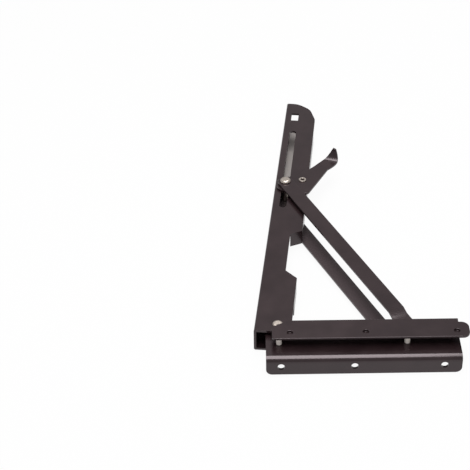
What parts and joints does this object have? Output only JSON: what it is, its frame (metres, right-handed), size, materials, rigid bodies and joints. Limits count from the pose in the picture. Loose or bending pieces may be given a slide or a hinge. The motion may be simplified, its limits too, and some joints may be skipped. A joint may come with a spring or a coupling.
{
  "type": "drop leaf table bracket",
  "caption": "Folding steel bracket with a slotted long arm, a hinged short arm, a double brace on a sliding pin and a thumb release lever, for holding up a drop leaf.",
  "frame": {"origin": "on the long arm's outer mounting face, level with the hinge and half way up the face", "axes": "+Y along the long arm away from the hinge, +X to the inner side, +Z along the pivots"},
  "size_m": [0.173, 0.3788, 0.0333],
  "materials": {
    "black_paint": "semi-gloss black-brown paint",
    "zinc_plate": "dull zinc plating"
  },
  "bodies": {
    "long_arm": {"long_arm": "black_paint", "hinge_rivet": "zinc_plate", "hinge_washer": "zinc_plate"},
    "short_arm": {"short_arm": "black_paint", "cover_bar": "black_paint", "hinge_stud": "zinc_plate", "link_stud": "zinc_plate"},
    "slide": {"slide_pin": "zinc_plate", "pin_bush": "zinc_plate"},
    "brace": {"upper_link": "black_paint", "lower_link": "black_paint", "link_rivet": "zinc_plate", "lower_sleeve": "zinc_plate", "upper_sleeve": "zinc_plate"},
    "lever": {"release_lever": "black_paint", "lever_eyelet": "zinc_plate"}
  },
  "joints": [
    {"name": "fold", "type": "hinge", "parent": "long_arm", "child": "short_arm", "pos_m": [0.0187, 0, 0], "axis": [0, 0, 1], "range_deg": [0, 46]},
    {"name": "pin_slide", "type": "slide", "parent": "long_arm", "child": "slide", "axis": [0, 1, 0], "range_m": [0, 0.0902]},
    {"name": "brace_turn", "type": "hinge", "parent": "slide", "child": "brace", "pos_m": [0.0097, 0.196, 0], "axis": [0, 0, 1], "range_deg": [-10.6, 0]},
    {"name": "lever_release", "type": "hinge", "parent": "slide", "child": "lever", "pos_m": [0.0097, 0.196, 0], "axis": [0, 0, 1], "range_deg": [0, 12], "stiffness_Nm_per_rad": 0.2}
  ],
  "couplings": [
    {"joint": "pin_slide", "follows": "fold", "m_per_rad": 0.11224},
    {"joint": "brace_turn", "follows": "fold", "ratio": -0.23017}
  ]
}
